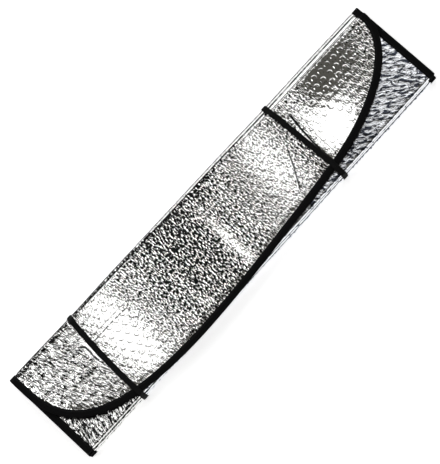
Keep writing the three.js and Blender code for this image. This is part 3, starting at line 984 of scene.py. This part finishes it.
def creaseField(x, y, run, onTop, strip, **others):
    # distance to the nearest painted shade line and how broken it is: along the drawn creases on the top
    # panel, two thin lines along the bend under it, and one along the top fold
    sheer, broken = fromCreases(x, y)
    sheer, broken = np.where(onTop, sheer, foilFields["noCrease"]), np.where(onTop, broken, 0.0)
    along = run - ((lastFold - 1) * sheet["width"] + phase)
    bendShadeLine = 0.8 * np.minimum(along - 1.0, 4.6 - along)
    sheer = np.where(strip & (np.abs(bendShadeLine) < 3), bendShadeLine, sheer)
    broken = np.where(strip, foilFields["bendBroken"], broken)
    edge = 1.2 * (run - lastPanel * sheet["width"] - phase + 1.0)
    sheer = np.where(onTop & (np.abs(edge) < 2.5) & (x < 60), edge, sheer)
    return np.stack([sheer, broken, 0 * sheer], -1)


zones = foilZones()
setField(foil, "crease", creaseField(**zones))
setField(foil, "slackAndDarkReflection", slackAndDarkReflectionField(**zones))
setField(foil, "lean", leanField(**zones))
print("foil fields set on", len(zones["x"]), "points")


tapeLook = {
    "dark": (0.002, 0.002, 0.0022, 1),
    "pale": (0.007, 0.007, 0.0075, 1),
    "thread": (0.014, 0.014, 0.015, 1),
    "weft": 0.0009,  # spacing of the threads, in metres
    "warp": 0.0011,
    "seam": 0.0070,  # from the edge of the sheet
    "stitch": 0.0034,
}


def wave(w, place, length):
    # a sine along a place in metres
    return w.math("SINE", w.math("MULTIPLY", place, 2 * math.pi / length))


def tapeMaterial():
    # matt black plain weave, the product of two sines, with a row of stitches near its inner edge
    made, w, shader = newMaterial("wovenTape")
    run, inset, across = w.split(w.field("flat")[1])
    weave = w.math("MULTIPLY", wave(w, run, tapeLook["weft"]), wave(w, across, tapeLook["warp"]))
    cloth = w.mix(w.remap(weave, -1.0, 1.0), tapeLook["dark"], tapeLook["pale"])
    seam = w.math("ABSOLUTE", w.math("SUBTRACT", inset, tapeLook["seam"]))
    dash = w.remap(wave(w, run, tapeLook["stitch"]), -0.75, -0.45)
    thread = w.math("MULTIPLY", w.remap(seam, 0.0002, 0.0004, 1.0, 0.0), dash)
    w.feed(shader.inputs["Base Color"], w.mix(thread, cloth, tapeLook["thread"]))
    shader.inputs["Roughness"].default_value = 0.85
    shader.inputs["Specular IOR Level"].default_value = 0.08
    height = w.math("MULTIPLY", weave, 0.00006)
    height = w.math("ADD", height, w.math("MULTIPLY", w.remap(seam, 0.0, 0.0014), 0.00025))
    height = w.math("ADD", height, w.math("MULTIPLY", thread, 0.0002))
    w.feed(shader.inputs["Normal"], w.bump(height, 0.6))
    return made


elasticLook = {
    "dark": (0.0025, 0.0025, 0.0027, 1),
    "pale": (0.009, 0.009, 0.0095, 1),
    "rib": 0.0012,  # spacing along and across the band, in metres
    "cord": 0.0010,
    "depth": 0.00008,
}


def elasticMaterial():
    # ribs across the band, as in knitted elastic: the sum of two sines
    made, w, shader = newMaterial("ribbedElastic")
    run, across, _ = w.split(w.field("flat")[1])
    cord = w.math("MULTIPLY", wave(w, across, elasticLook["cord"]), 0.6)
    knit = w.math("ADD", wave(w, run, elasticLook["rib"]), cord)
    colour = w.mix(w.remap(knit, -1.6, 1.6), elasticLook["dark"], elasticLook["pale"])
    w.feed(shader.inputs["Base Color"], colour)
    shader.inputs["Roughness"].default_value = 0.75
    shader.inputs["Specular IOR Level"].default_value = 0.1
    w.feed(shader.inputs["Normal"], w.bump(w.math("MULTIPLY", knit, elasticLook["depth"]), 0.7))
    return made


foil.data.materials.append(foilMaterial())
binding.data.materials.append(tapeMaterial())
elastic = elasticMaterial()
for piece in elastics.values():
    piece.data.materials.append(elastic)
print("materials", [made.name for made in bpy.data.materials])

floorLook = {
    "size": 4,  # half its side, in metres
    "colour": (0.93, 0.93, 0.93, 1),
    "glow": 0.67,  # added only where the camera or a mirror sees it
}


def paleFloor():
    # a square on the ground, white to the camera, that keeps the shadow
    reach = floorLook["size"]
    mesh = bpy.data.meshes.new("floor")
    corners = [(-reach, -reach, 0), (reach, -reach, 0), (reach, reach, 0), (-reach, reach, 0)]
    mesh.from_pydata(corners, [], [(0, 1, 2, 3)])
    made, w, shader = newMaterial("paleFloor")
    shader.inputs["Base Color"].default_value = floorLook["colour"]
    shader.inputs["Roughness"].default_value = 0.9
    shader.inputs["Specular IOR Level"].default_value = 0.0
    shader.inputs["Emission Color"].default_value = (1, 1, 1, 1)
    paths = w.node("ShaderNodeLightPath").outputs
    mirrored = w.math("MAXIMUM", paths["Is Glossy Ray"], paths["Is Transmission Ray"])
    seen = w.math("MAXIMUM", paths["Is Camera Ray"], mirrored)
    w.feed(shader.inputs["Emission Strength"], w.math("MULTIPLY", seen, floorLook["glow"]))
    mesh.materials.append(made)
    floor = bpy.data.objects.new("floor", mesh)
    scene.collection.objects.link(floor)
    return floor


floor = paleFloor()

studio = {
    "dark": 0.085,
    "bright": 1.42,
    "shade": (1.0, 0.97, 0.87, 1),  # tint of the dark half
    "low": 0.55,  # towards the horizon
    "mirrored": (0.035, 0.2085),  # where flat foil looks, seen from the camera's side
    "narrow": 0.12,  # the edge between the two halves
    "wide": 0.30,
}


def studioWorld():
    # one half of the room is bright and the other dark, and both go over to one level near the horizon
    world = bpy.data.worlds.new("studio")
    world.use_nodes = True
    w = Wires(world.node_tree)
    direction = w.node("ShaderNodeTexCoord").outputs["Generated"]
    rise = w.split(direction)[2]
    offset = w.vector("SUBTRACT", direction, (*studio["mirrored"], 0.0))
    aside = w.node("ShaderNodeVectorMath", {0: offset, 1: (*brightSide, 0.0)}, operation="DOT_PRODUCT")
    aside = aside.outputs["Value"]
    level = w.remap(aside, studio["narrow"], studio["wide"], studio["dark"], studio["bright"])
    level = partWay(w, level, studio["low"], w.remap(rise, 0.2, 0.62, 1.0, 0.0))
    tint = w.mix(w.remap(level, studio["dark"], studio["low"]), studio["shade"], (1, 1, 1, 1))
    background = world.node_tree.nodes["Background"]
    w.feed(background.inputs["Color"], tint)
    w.feed(background.inputs["Strength"], level)
    scene.world = world


def softLight(name, where, size, power):
    # a square lamp that faces the pack
    lamp = bpy.data.lights.new(name, "AREA")
    lamp.size = size
    lamp.energy = power
    holder = bpy.data.objects.new(name, lamp)
    holder.location = where
    holder.rotation_euler = (Vector((0, 0, 0)) - Vector(where)).to_track_quat("-Z", "Y").to_euler()
    scene.collection.objects.link(holder)


studioWorld()
softLight("keyLight", (-1.6, 0.6, 2.0), 1.0, 14)
scene.view_settings.view_transform = "Standard"
print("studio ready")
